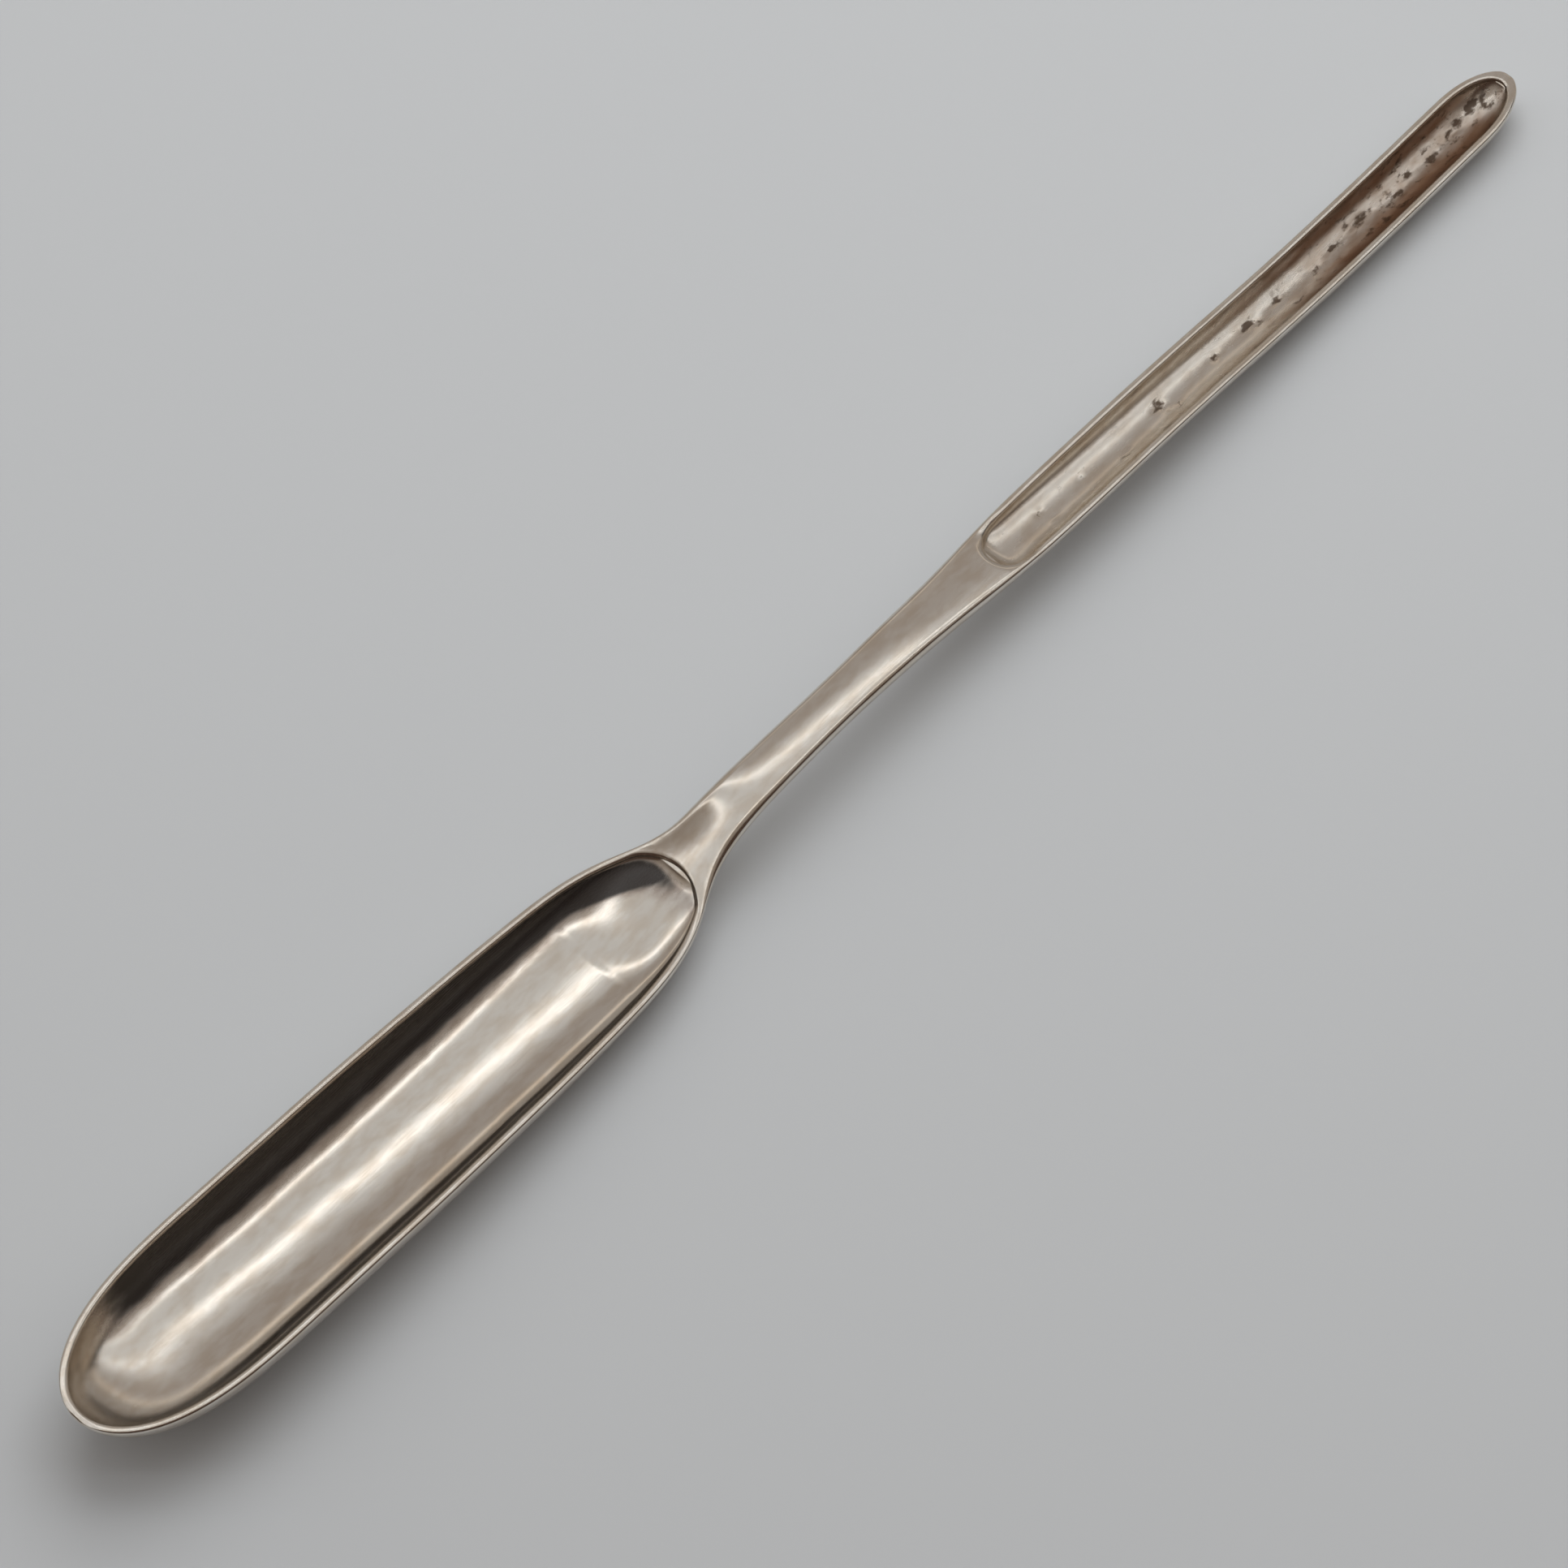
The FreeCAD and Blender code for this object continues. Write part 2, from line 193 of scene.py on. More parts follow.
def widest_line(x):
    """Height of the widest line, just under the rims."""
    b = bowl_length
    s = scoop_plane
    n = 0.93 * b
    return ease([
        (0, bowl_height + bowl_fall * 0.5 * b),
        (0.5 * b, bowl_height),
        (n - 6, bowl_height - bowl_fall * (n - 6 - 0.5 * b)),
        (n, bowl_height - bowl_fall * (n - 2 - 0.5 * b)),
        (b, 0.70 * shank_height),
        (b + 4, 0.88 * shank_height),
        (b + 9, 0.965 * shank_height),
        (b + 14, 0.990 * shank_height),
        (b + 20, shank_height),
        (b + 26, 0.992 * shank_height),
        (b + 32, 0.970 * shank_height),
        (s - 2, 0.88 * shank_height),
        (s + 8, 0.84 * shank_height),
        (s + 28, 0.76 * shank_height),
        (s + 38, 0.68 * shank_height),
        (s + 48, 0.57 * shank_height),
        (s + 58, 1.05 * scoop_height),
        (s + 70, 0.98 * scoop_height),
        (s + 80, scoop_height),
        (total_length, 1.03 * scoop_height),
    ], x)


def keel_body(x):
    """Depth of the back under its widest line, its ends not yet rounded."""
    b = bowl_length
    s = scoop_plane
    stations = []
    for share in (0.13, 0.20, 0.30, 0.40, 0.50, 0.60, 0.70, 0.80, 0.86):
        rise = (share * b - bowl_rest) ** 2 / (2 * bowl_rocker)
        stations.append((share * b, widest_line(share * b) - rise))
    stations += [
        (0.905 * b, 0.435 * bowl_height),
        (0.955 * b, 0.355 * bowl_height),
        (b, 0.31 * shank_height),
        (b + 6, 0.315 * shank_height),
        (b + 20, 0.325 * shank_height),
        (s - 12, 0.34 * shank_height),
        (s - 2, 0.36 * shank_height),
        (s + 8, 0.87 * scoop_height),
        (s + 18, 0.92 * scoop_height),
        (s + 38, 0.96 * scoop_height),
        (s + 68, 0.99 * scoop_height),
        (total_length - 12, scoop_height),
    ]
    return ease(stations, x) + worn_depth


def keel_depth(x):
    """Depth of the back under its widest line."""
    tip = round_end(x, 0.13 * bowl_length, 2.6, 0.75)
    return keel_body(x) * tip * round_end(total_length - x, 12.0, 2.2)


def between_rims(x, on_shank, on_rims):
    """A size that is one value on the shank and another on the rims of both ends."""
    return ease([
        (bowl_length - 12, on_rims),
        (bowl_length - 7, on_rims),
        (bowl_length + 6, on_shank),
        (scoop_plane - 6, on_shank),
        (scoop_plane + 9, on_rims),
        (scoop_plane + 14, on_rims),
    ], x)


def corner_side(x):
    """How far the rounding of the upper corner reaches in from the widest line."""
    wide = between_rims(x, shank_round_side, rim_round)
    w = half_width(x)
    return wide * w / (w + 0.5 * wide)


def corner_up(x):
    """How far the rounding of the upper corner rises above the widest line."""
    high = between_rims(x, shank_round_up, rim_round)
    return high * round_end(x, rim_round, 2.0) * round_end(total_length - x, rim_round, 2.0)


def crown(x):
    """Rise of the upper face between its corners; below zero it is hollow."""
    return ease([
        (bowl_length - 14, 0.0),
        (bowl_length - 10, 0.0),
        (bowl_length - 2, -web_dip),
        (bowl_length + 1, -web_dip),
        (bowl_length + 8, shank_crown),
        (scoop_plane - 2, shank_crown),
        (scoop_plane + 10, 0.0),
        (scoop_plane + 14, 0.0),
    ], x)


def side_fullness(x):
    """Fullness of the back below the widest line, 0.55 for an ellipse."""
    return ease([
        (bowl_length - 14, 0.46),
        (bowl_length + 4, 0.55),
        (scoop_plane, 0.55),
        (scoop_plane + 15, 0.52),
    ], x)


def keel_fullness(x):
    """Fullness of the back next to the keel."""
    return ease([
        (0.04 * bowl_length, 0.64),
        (0.15 * bowl_length, 0.80),
        (bowl_length - 18, 0.80),
        (bowl_length + 2, 0.55),
        (scoop_plane, 0.55),
        (scoop_plane + 15, 0.60),
        (total_length - 12, 0.60),
        (total_length, 0.56),
    ], x)


# ---- hollows ------------------------------------------------------------------------

def wall_inside(x, outline_x, outline, wall):
    """Curve inside an outline at the wall's thickness, read at x as the square of its height.

    Every point of the outline moves inwards along its normal by the wall. The square is
    read, because it runs straight through a round end, and it is carried on below zero.
    """
    slope = np.gradient(outline, outline_x)
    length = np.hypot(1.0, slope)
    inner_x = outline_x + wall * slope / length
    inner = outline - wall / length
    keep = inner > 0
    order = np.argsort(inner_x[keep])
    px = inner_x[keep][order]
    py = inner[keep][order] ** 2
    value = np.interp(x, px, py)
    first = (py[3] - py[0]) / (px[3] - px[0])
    last = (py[-1] - py[-4]) / (px[-1] - px[-4])
    value = np.where(x < px[0], py[0] + first * (x - px[0]), value)
    return np.where(x > px[-1], py[-1] + last * (x - px[-1]), value)


def end_square(distance, length, fullness):
    """Square of a rounded end, carried on straight below zero outside of it."""
    share = np.minimum(distance / length, 1.0)
    inside = 1 - (1 - np.maximum(share, 0.0)) ** fullness
    return np.where(share >= 0, inside, fullness * share)


def smooth_min(a, b, blend):
    """The smaller of two values, rounded where they cross."""
    h = np.clip(0.5 + 0.5 * (b - a) / blend, 0.0, 1.0)
    return b * (1 - h) + a * h - blend * h * (1 - h)


# The bowl's outline, sampled finely, and most finely at its tip
outline_x = bowl_length * (1 - np.cos(np.linspace(0, math.pi / 2, 1500)[1:]))
bowl_outline = half_width(outline_x)


def bowl_lip_square(x):
    """Square of the half width of the bowl's hollow at its lip."""
    wall = wall_inside(x, outline_x, bowl_outline, rim_wall)
    neck = bowl_neck_half_width ** 2 * end_square(bowl_hollow_end - x, bowl_neck_round, 2.4)
    return np.where(x > 0.6 * bowl_length, smooth_min(wall, neck, 2.0), wall)


def bowl_hollow_depth(x):
    """Depth of the bowl's hollow under the rim."""
    full = keel_body(x) + corner_up(x) - bowl_floor
    from_neck = bowl_hollow_end - x
    rise = ease([
        (0, 0.0),
        (0.12 * bowl_neck_run, 0.03),
        (0.22 * bowl_neck_run, 0.14),
        (0.33 * bowl_neck_run, 0.31),
        (0.44 * bowl_neck_run, 0.48),
        (0.60 * bowl_neck_run, 0.73),
        (0.76 * bowl_neck_run, 0.90),
        (0.86 * bowl_neck_run, 0.965),
        (0.93 * bowl_neck_run, 0.99),
        (bowl_neck_run, 1.0),
    ], from_neck)
    end = bowl_step * round_end(from_neck, 1.6, 2.2) + (full - bowl_step) * rise
    tip = full * round_end(x - 0.89 * rim_wall, bowl_tip_run, 3.6, 0.7)
    return np.where(from_neck < bowl_neck_run, end, tip)


def trough_lip_square(x):
    """Square of the half width of the trough at its lip."""
    wall = (half_width(x) - rim_wall) ** 2
    start = end_square(x - trough_start, trough_start_round, 2.2)
    end = (scoop_half_width - rim_wall) ** 2
    end = end * end_square(total_length - trough_end_wall - x, trough_lip_round, 2.4)
    return smooth_min(wall * start, end, 0.5)


def trough_hollow_depth(x):
    """Depth of the trough under the rim: a step, then a long ramp to the full depth."""
    from_start = x - trough_start
    ramp = ease([(0, 0.0), (0.5 * trough_run, 0.62), (trough_run, 1.0)], from_start)
    depth = trough_step * round_end(from_start, 2.2, 2.2) + (trough_depth - trough_step) * ramp
    most = keel_body(x) + corner_up(x) + np.maximum(0.0, crown(x)) - scoop_floor
    depth = np.minimum(depth, most)
    return depth * round_end(total_length - trough_end_wall - x, trough_floor_round, 2.5, 0.65)


def in_trough(x):
    """Whether a place is nearer to the trough than to the bowl's hollow."""
    return x > (bowl_hollow_end + trough_start) / 2


def lip_square(x):
    """Square of the half width of whichever hollow is near; below zero there is none."""
    return np.where(in_trough(x), trough_lip_square(x), bowl_lip_square(x))


def hollow_depth(x):
    """Depth of whichever hollow is near."""
    return np.where(in_trough(x), trough_hollow_depth(x), bowl_hollow_depth(x))


def hollow_fullness(x):
    """Fullness of the hollow's section at wall and floor, more than 0.55 for a flatter one."""
    return [np.where(in_trough(x), trough, bowl)
            for trough, bowl in zip(trough_fullness, bowl_fullness)]


# ---- the skin of the forging ----------------------------------------------------------

def bezier(poles, t):
    """Four-pole curve: the poles weighted by (1-t)^3, 3t(1-t)^2, 3t^2(1-t) and t^3."""
    a, b, c, d = poles
    return a * (1 - t) ** 3 + 3 * b * t * (1 - t) ** 2 + 3 * c * t * t * (1 - t) + d * t ** 3


def quarter_drop(distance, radius):
    """Fall of a rounded edge at a distance from it: a quarter circle of that radius."""
    inside = np.clip(radius - distance, 0.0, radius)
    return radius - np.sqrt(radius ** 2 - inside ** 2)


def lip_gap(x, y, square_of):
    """About how far a place is outside a lip: (y^2 - lip^2) over the length of its gradient."""
    square = square_of(x)
    slope = (square_of(x + 0.01) - square_of(x - 0.01)) / 0.02
    return (y * y - square) / (2 * np.sqrt(y * y + (slope / 2) ** 2) + 1e-6)


def top_height(x, y):
    """Height of the upper face: crowned between its corners and rounded at a hollow's lip."""
    zs = widest_line(x) + corner_up(x)
    ws = half_width(x) - corner_side(x)
    face = zs + crown(x) * (1 - np.clip(y / np.maximum(ws, 0.01), -1, 1) ** 2)
    gap = np.where(in_trough(x), lip_gap(x, y, trough_lip_square),
                   lip_gap(x, y, bowl_lip_square))
    at_start = smooth(in_trough(x) * (trough_start + 6 - x), 0, 6)
    soft = lip_round + trough_softer_lip * at_start
    radius = np.minimum(soft, 0.42 * np.maximum(half_width(x) - 0.1, 0.05))
    return face - quarter_drop(np.maximum(gap, 0.0), radius)


def places_along():
    """Where the sections stand: crowded where the skin closes or a hollow starts or ends."""
    stops = [0.0, rim_wall, bowl_hollow_end, trough_start,
             total_length - trough_end_wall, total_length]
    counts = [14, 250, 96, 250, 16]
    places = []
    for a, b, n in zip(stops, stops[1:], counts):
        t = np.arange(n) / n
        places.append(a + (b - a) * (1 - np.cos(math.pi * t)) / 2)
    return np.concatenate(places + [[total_length]])


def heel_swelling(x, y):
    """How far the heel stands proud of the back: a drop, round ahead and fading behind."""
    start = bowl_length - heel_length
    end = bowl_length + heel_fade
    nose = 0.6 * heel_length
    wide = heel_half_width * round_end(x - start, nose, 2.2)
    wide = wide * ease([(start + nose, 1.0), (bowl_length, 0.72), (end, 0.45)], x)
    proud = ease([(start + nose, 1.0), (bowl_length - 2, 0.85), (end - 3.5, 0.0)], x)
    proud = heel_height * proud * round_end(x - start, nose, 2.0)
    across = np.clip(1 - (y / np.maximum(wide, 0.05)) ** 2, 0, 1)
    return np.where((x > start) & (x < end), proud * across, 0.0)


# Places where the trough is pitted: along, across, half length, half width and strength
trough_pits = (
    (143.4, 0.7, 0.5, 0.35, 0.7),
    (144.2, -0.9, 0.6, 0.25, 0.5),
    (150.1, 0.3, 0.4, 0.3, 0.5),
    (156.1, -1.1, 0.9, 0.3, 0.6),
    (163.3, 0.8, 0.7, 0.5, 0.9),
    (163.9, 0.0, 0.5, 0.5, 1.0),
    (165.3, -1.0, 0.5, 0.5, 0.7),
    (173.1, 0.6, 0.8, 0.4, 1.0),
    (179.4, 0.9, 1.2, 0.45, 1.0),
    (180.3, 0.2, 0.8, 0.4, 0.8),
    (184.2, 0.7, 1.8, 0.3, 0.8),
    (186.5, -1.4, 1.5, 0.4, 0.6),
    (190.6, 0.2, 1.0, 0.45, 0.8),
    (195.0, 0.9, 1.7, 0.3, 0.9),
    (199.2, 1.1, 2.2, 0.3, 1.0),
    (202.4, 0.4, 0.9, 0.35, 0.8),
    (205.5, 0.0, 1.8, 0.4, 1.0),
    (208.0, 1.0, 0.9, 0.3, 0.8),
    (211.8, 0.2, 0.9, 0.6, 1.0),
    (216.5, 0.9, 2.0, 0.5, 0.9),
    (219.8, 1.3, 1.2, 0.5, 1.0),
    (221.2, 0.6, 0.6, 0.7, 1.0),
)


def pitted(x, y):
    """Share of a pit at a place in the trough: each pit is an oval dip, round at its edge."""
    amount = np.zeros(np.broadcast(x, y).shape)
    for along, across, long, wide, strength in trough_pits:
        slanted = (x - along - 0.5 * (y - across)) / long
        near = slanted ** 2 + ((y - across) / (1.3 * wide)) ** 2
        amount = np.maximum(amount, strength * np.exp(-near ** 1.5))
    return amount


def worn_floor(x, y):
    """Change of the hollows' height by wear: pits and a ripple in the trough, a dent in the bowl.

    The pits are 0.13 mm deep, the ripple is two crossed sine waves of 0.018 mm that grow
    to the end, and the dent is a soft oval, 0.02 mm deep.
    """
    trough = in_trough(x)
    ripple = np.sin(1.9 * x + 1.3 * np.sin(1.1 * y)) * np.sin(2.3 * y + 0.9 * np.sin(0.7 * x))
    rough = 0.018 * ripple * smooth(x, 168, 206) * trough
    dent = 0.02 * np.exp(-((x - 66) / 5.0) ** 2 - ((y + 2.2) / 2.4) ** 2)
    return rough - 0.13 * pitted(x, y) * trough - dent


def forging_skin():
    """Grid of (x, y, z) over half the forging, from the keel up, over the rim and down inside.

    Rows are sections across the object. In a section the back and the upper corner are
    four-pole curves, the rim is the upper face's height, and the hollow is a four-pole
    curve from the lip to the floor, which shrinks to a point where there is no hollow.
    Also gives which rows have no hollow.
    """
    x = places_along()[:, None]
    w = half_width(x)
    zw = widest_line(x)
    zk = zw - keel_depth(x)
    ws = w - corner_side(x)
    zs = zw + corner_up(x)
    t = np.sin(np.linspace(0, 1, back_count) * math.pi / 2)[None, :]
    k, kk = side_fullness(x), keel_fullness(x)
    back_y = bezier((0 * w, kk * w, w, w), t)
    back_z = bezier((zk, zk, zw - k * (zw - zk), zw), t) - heel_swelling(x, back_y)
    t = np.linspace(0, 1, corner_count)[None, 1:]
    corner_y = bezier((w, w, ws + 0.55 * (w - ws), ws), t)
    corner_z = bezier((zw, zw + 0.45 * (zs - zw), zs, zs), t)
    lip = np.sqrt(np.maximum(lip_square(x), 0.0))
    lip = np.minimum(lip, ws)
    t = np.sin(np.linspace(0, 1, rim_count) * math.pi / 2)[None, 1:]
    rim_y = ws + (lip - ws) * t
    rim_z = top_height(x, rim_y)
    lip_z = rim_z[:, -1:]
    depth = np.where(lip > 0, hollow_depth(x), 0.0)
    floor = np.minimum(zs - depth, lip_z)
    t = np.linspace(0, 1, hollow_count)[None, 1:]
    ks, kf = hollow_fullness(x)
    hollow_y = bezier((lip, lip, kf * lip, 0 * lip), t)
    hollow_z = bezier((lip_z, lip_z - ks * (lip_z - floor), floor, floor), t)
    all_y = np.hstack([back_y, corner_y, rim_y, hollow_y])
    all_z = np.hstack([back_z, corner_z, rim_z, hollow_z])
    all_z = np.clip(all_z, 0.0, cad_high.z / MM)
    return np.broadcast_to(x, all_y.shape), all_y, all_z, (lip <= 0)[:, 0]


def across_hollow(x, y):
    """How far a place is from the middle of its hollow to the lip, -1 to 1."""
    return y / np.sqrt(np.maximum(lip_square(x), 0.25))


def below_rim(points):
    """0 at the height of the rim and 1 from a third of a millimetre under it."""
    x, y, z = points.T
    return smooth(top_height(x, y) - z, 0.10, 0.35)


def forging_mesh():
    """Mesh of the whole skin: the half grid, its mirror image, and closed ends.

    Gives the points, the triangles, and each point's share in a hollow's surface, which is
    0 on the back, the sides and the rims.
    """
    xs, ys, zs, solid_rows = forging_skin()
    rows, columns = xs.shape
    right = np.dstack([xs, ys, zs]).reshape(-1, 3)
    left = right * [1, -1, 1]
    lip = columns - hollow_count
    ids = np.arange(rows * columns).reshape(rows, columns)
    ids[solid_rows, lip + 1:] = ids[solid_rows, lip][:, None]
    mirror = ids + rows * columns
    mirror[:, 0] = ids[:, 0]
    mirror[:, -1] = ids[:, -1]
    mirror[solid_rows, lip:] = ids[solid_rows, lip:]
    ring = np.hstack([ids, mirror[:, -2::-1]])
    ring[0, :] = ring[0, 0]
    ring[-1, :] = ring[-1, 0]
    a, b = ring[:-1, :-1].ravel(), ring[1:, :-1].ravel()
    c, d = ring[1:, 1:].ravel(), ring[:-1, 1:].ravel()
    triangles = np.vstack([np.column_stack([a, c, b]), np.column_stack([a, d, c])])
    good = ((triangles[:, 0] != triangles[:, 1]) & (triangles[:, 1] != triangles[:, 2])
            & (triangles[:, 2] != triangles[:, 0]))
    triangles = triangles[good]
    used, compact = np.unique(triangles, return_inverse=True)
    points = np.vstack([right, left])[used]
    hollow = below_rim(points) * (used % columns > lip)
    points[:, 2] += hollow * worn_floor(points[:, 0], points[:, 1])
    return points, compact.reshape(-1, 3), hollow


def make_piece(name, points, triangles, material):
    """A smooth mesh object in metres in the object's frame, riding with it."""
    mesh = bpy.data.meshes.new(name)
    place = (points - [mid_length, 0, 0]) * MM
    mesh.vertices.add(len(place))
    mesh.vertices.foreach_set("co", place.ravel())
    mesh.loops.add(3 * len(triangles))
    mesh.loops.foreach_set("vertex_index", triangles.ravel())
    mesh.polygons.add(len(triangles))
    mesh.polygons.foreach_set("loop_start", 3 * np.arange(len(triangles)))
    mesh.polygons.foreach_set("use_smooth", np.ones(len(triangles), bool))
    mesh.update(calc_edges=True)
    mesh.validate()
    mesh.materials.append(material)
    piece = bpy.data.objects.new(name, mesh)
    bpy.context.collection.objects.link(piece)
    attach(piece, "root")
    return piece


# ---- finishes -------------------------------------------------------------------------

def hex_linear(text):
    """sRGB hex colour as linear RGBA."""
    channels = [int(text[i:i + 2], 16) / 255 for i in (1, 3, 5)]
    return [c / 12.92 if c <= 0.04045 else ((c + 0.055) / 1.055) ** 2.4 for c in channels] + [1.0]


def node(tree, kind, inputs, output=0, **settings):
    """Adds a node with its settings, sets or links its inputs, and gives one of its outputs."""
    made = tree.nodes.new(kind)
    for key, value in settings.items():
        setattr(made, key, value)
    for key, value in inputs.items():
        if isinstance(value, bpy.types.NodeSocket):
            tree.links.new(value, made.inputs[key])
        else:
            made.inputs[key].default_value = value
    return made.outputs[output] if made.outputs else None


def silver_material():
    """Sterling silver, hand-finished and worn.

    A bright warm white metal. Lengthwise scratches and a soft unevenness from the hammer
    break its reflections. In the bowl, brown to black is painted: a dark reflection high on
    the far wall and shade at the neck. The trough is tarnished rust brown and pitted with dark
    brown specks.
    """
    material = bpy.data.materials.new("worn_sterling_silver")
    material.use_nodes = True
    tree = material.node_tree
    tree.nodes.clear()

    # Shares from 0 to 1 that every point of the mesh carries
    # In the bowl this share is painted dark reflection and painted shade; in the trough it is real
    # tarnish
    tarnish_and_painted_shade = node(tree, "ShaderNodeAttribute", {}, "Fac", attribute_name="tarnish_and_painted_shade")
    pitting = node(tree, "ShaderNodeAttribute", {}, "Fac", attribute_name="pitting")
    polish = node(tree, "ShaderNodeAttribute", {}, "Fac", attribute_name="polish")

    # Noises, each with the number of its blobs in a millimetre along x, y and z: scratches
    # and fine lines run along the object, the hammer's marks are soft and wide, the specks
    # are the grains of the pits, and the cloud makes colour and tarnish uneven
    spot = node(tree, "ShaderNodeTexCoord", {}, "Object")
    grain = {}
    for name, per_mm, detail, roughness in (
            ("scratches", (0.12, 3.0, 3.0), 3.0, 0.5),
            ("fine_lines", (0.35, 9.0, 9.0), 2.0, 0.5),
            ("hammer", (0.10, 0.22, 0.22), 1.0, 0.5),
            ("specks", (0.65, 1.15, 1.15), 4.0, 0.6),
            ("cloud", (0.30, 0.75, 0.75), 3.0, 0.5)):
        place = node(tree, "ShaderNodeVectorMath", {0: spot, 1: [n / MM for n in per_mm]},
                     operation="MULTIPLY")
        grain[name] = node(tree, "ShaderNodeTexNoise", {
            "Vector": place, "Scale": 1.0, "Detail": detail, "Roughness": roughness})

    # Pits of the trough: specks that grow together where the pitting is strong
    near_pit = node(tree, "ShaderNodeMath", {0: pitting, 1: 0.30, 2: grain["specks"]},
                    operation="MULTIPLY_ADD")
    in_pit = node(tree, "ShaderNodeMapRange", {0: near_pit, 1: 0.62, 2: 0.80},
                  interpolation_type="SMOOTHSTEP")
    worn = node(tree, "ShaderNodeMapRange", {0: pitting, 1: 0.05, 2: 0.35},
                interpolation_type="SMOOTHSTEP")
    pit = node(tree, "ShaderNodeMath", {0: in_pit, 1: worn}, operation="MULTIPLY")

    # Film of tarnish in the trough, and in the bowl painted dark reflection and painted shade,
    # thicker and thinner with the cloud, and none where the share is zero
    uneven = node(tree, "ShaderNodeMath", {0: grain["cloud"], 1: 0.5, 2: -0.25},
                  operation="MULTIPLY_ADD")
    uneven = node(tree, "ShaderNodeMath", {0: tarnish_and_painted_shade, 1: uneven}, operation="ADD")
    thick = node(tree, "ShaderNodeMapRange", {0: uneven, 1: 0.08, 2: 0.95},
                 interpolation_type="SMOOTHSTEP")
    present = node(tree, "ShaderNodeMapRange", {0: tarnish_and_painted_shade, 1: 0.0, 2: 0.15},
                   interpolation_type="SMOOTHSTEP")
    film_and_painted_shade = node(tree, "ShaderNodeMath", {0: thick, 1: present}, operation="MULTIPLY")

    # Colour: warm silver; in the bowl brown to black where the painted dark reflection and painted
    # shade lie; rust brown tarnish in the trough
    patchy = node(tree, "ShaderNodeMapRange", {0: grain["cloud"], 1: 0.35, 2: 0.70},
                  interpolation_type="SMOOTHSTEP")
    bare = node(tree, "ShaderNodeMix", {
        0: patchy, 6: hex_linear("#ddd6cc"), 7: hex_linear("#d3c8ba")}, 2, data_type="RGBA")
    # The bowl's brown to black is painted: a dark reflection high on the far wall and shade at the
    # neck
    painted_shade_depth = node(tree, "ShaderNodeMapRange", {0: film_and_painted_shade, 1: 0.35, 2: 0.85},
                     interpolation_type="SMOOTHSTEP")
    dark = node(tree, "ShaderNodeMix", {
        0: painted_shade_depth, 6: hex_linear("#5b3a30"), 7: hex_linear("#171010")}, 2, data_type="RGBA")
    in_channel = node(tree, "ShaderNodeMapRange", {0: pitting, 1: 0.0, 2: 0.1},
                      interpolation_type="SMOOTHSTEP")
    film_and_shade_colour = node(tree, "ShaderNodeMix", {
        0: in_channel, 6: dark, 7: hex_linear("#8b6a53")}, 2, data_type="RGBA")
    film_and_shade_share = node(tree, "ShaderNodeMath", {0: film_and_painted_shade, 1: 0.95}, operation="MULTIPLY")
    filmed_and_shaded = node(tree, "ShaderNodeMix", {0: film_and_shade_share, 6: bare, 7: film_and_shade_colour}, 2,
                  data_type="RGBA")
    pit_share = node(tree, "ShaderNodeMath", {0: pit, 1: 0.85}, operation="MULTIPLY")
    colour = node(tree, "ShaderNodeMix", {0: pit_share, 6: filmed_and_shaded, 7: hex_linear("#54402f")}, 2,
                  data_type="RGBA")

    # Roughness: smoother where it is polished, duller along fine lines, tarnish film, painted shade
    # and pits
    rough = node(tree, "ShaderNodeMath", {0: polish, 1: -0.20, 2: 0.29}, operation="MULTIPLY_ADD")
    rough = node(tree, "ShaderNodeMath", {0: grain["fine_lines"], 1: 0.10, 2: rough},
                 operation="MULTIPLY_ADD")
    rough = node(tree, "ShaderNodeMath", {0: film_and_painted_shade, 1: 0.12, 2: rough}, operation="MULTIPLY_ADD")
    rough = node(tree, "ShaderNodeMath", {0: pit, 1: 0.25, 2: rough}, operation="MULTIPLY_ADD")

    # Height of the fine unevenness, in millimetres
    rubbed = node(tree, "ShaderNodeMapRange", {0: pitting, 1: 0.0, 2: 0.5},
                  interpolation_type="SMOOTHSTEP")
    rubbed = node(tree, "ShaderNodeMath", {0: rubbed, 1: grain["cloud"]}, operation="MULTIPLY")
    height = 0.0
    for share, millimetres in ((grain["scratches"], 0.0022), (grain["fine_lines"], 0.0010),
                               (grain["hammer"], 0.0022), (rubbed, 0.012), (pit, -0.02)):
        height = node(tree, "ShaderNodeMath", {0: share, 1: millimetres, 2: height},
                      operation="MULTIPLY_ADD")
    bump = node(tree, "ShaderNodeBump", {"Strength": 1.0, "Distance": MM, "Height": height})

    # In the bowl the painted dark reflection and shade also take away most of the metal's shine; in
    # the trough the film is a stain on bright metal
    hiding = node(tree, "ShaderNodeMath", {0: in_channel, 1: -0.7, 2: 0.7},
                  operation="MULTIPLY_ADD")
    metal = node(tree, "ShaderNodeMath", {0: film_and_painted_shade, 1: hiding}, operation="MULTIPLY")
    metal = node(tree, "ShaderNodeMath", {0: 1.0, 1: metal}, operation="SUBTRACT")
    shader = node(tree, "ShaderNodeBsdfPrincipled", {
        "Base Color": colour, "Metallic": metal, "Roughness": rough, "Normal": bump})
    node(tree, "ShaderNodeOutputMaterial", {"Surface": shader})
    return material


def floor_material():
    """Pale grey card, matt."""
    material = bpy.data.materials.new("pale_grey_card")
    material.use_nodes = True
    tree = material.node_tree
    tree.nodes.clear()
    shader = node(tree, "ShaderNodeBsdfPrincipled", {
        "Base Color": hex_linear("#ced2d5"), "Roughness": 0.9})
    node(tree, "ShaderNodeOutputMaterial", {"Surface": shader})
    return material


